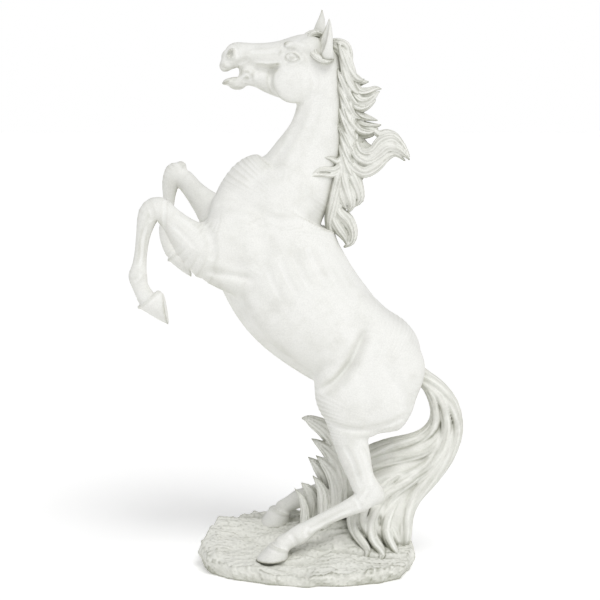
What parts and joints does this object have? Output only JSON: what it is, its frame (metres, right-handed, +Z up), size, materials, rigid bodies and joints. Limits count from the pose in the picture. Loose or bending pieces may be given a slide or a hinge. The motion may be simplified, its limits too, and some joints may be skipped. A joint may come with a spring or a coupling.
{
  "type": "rearing horse garden statue",
  "caption": "Cast-stone rearing horse statue with streaming mane and sweeping tail on a rock base, hollow shells over a steel armature with a ballast bung underneath.",
  "frame": {"origin": "centre of the rock base's underside, on the ground", "axes": "+Z up, the horse faces -X, its left side is towards -Y"},
  "size_m": [0.7159, 0.3297, 1.1981],
  "materials": {
    "antique_stone": "matt antique wash",
    "washed_hair_stone": "matt antique wash, darker between strands",
    "rough_rock_stone": "rough, gritty",
    "grass_stone": "matt",
    "closing_plate": "flat cast",
    "armature_steel": "mill",
    "fastener_steel": "zinc plated",
    "bung_rubber": "matt"
  },
  "bodies": {
    "statue": {"armature_foot_plate": "armature_steel", "base_plate": "closing_plate", "base_plate_screws": "fastener_steel", "body_shell_left": "antique_stone", "body_shell_right": "antique_stone", "ear_left": "antique_stone", "ear_right": "antique_stone", "foot_plate_bolts": "fastener_steel", "foot_plate_nuts": "fastener_steel", "foreleg_bar_left": "armature_steel", "foreleg_bar_right": "armature_steel", "foreleg_left": "antique_stone", "foreleg_right": "antique_stone", "forelock": "washed_hair_stone", "grass_clump": "grass_stone", "head": "antique_stone", "hind_leg_bar_left": "armature_steel", "hind_leg_bar_right": "armature_steel", "hind_leg_left": "antique_stone", "hind_leg_right": "antique_stone", "hip_beam": "armature_steel", "mane_crest": "washed_hair_stone", "mane_great_lock": "washed_hair_stone", "mane_middle_lock": "washed_hair_stone", "mane_shoulder_lock": "washed_hair_stone", "mane_upper_lock": "washed_hair_stone", "mane_withers_lock": "washed_hair_stone", "neck_bar": "armature_steel", "rock_base": "rough_rock_stone", "seam_pins": "fastener_steel", "shoulder_beam": "armature_steel", "spine_tube": "armature_steel", "tail": "washed_hair_stone", "tail_bar": "armature_steel", "tail_wrap": "washed_hair_stone"},
    "bung": {"ballast_bung": "bung_rubber"}
  },
  "joints": [
    {"name": "bung_pull", "type": "slide", "parent": "statue", "child": "bung", "axis": [0, 0, -1], "range_m": [0, 0.025]}
  ]
}
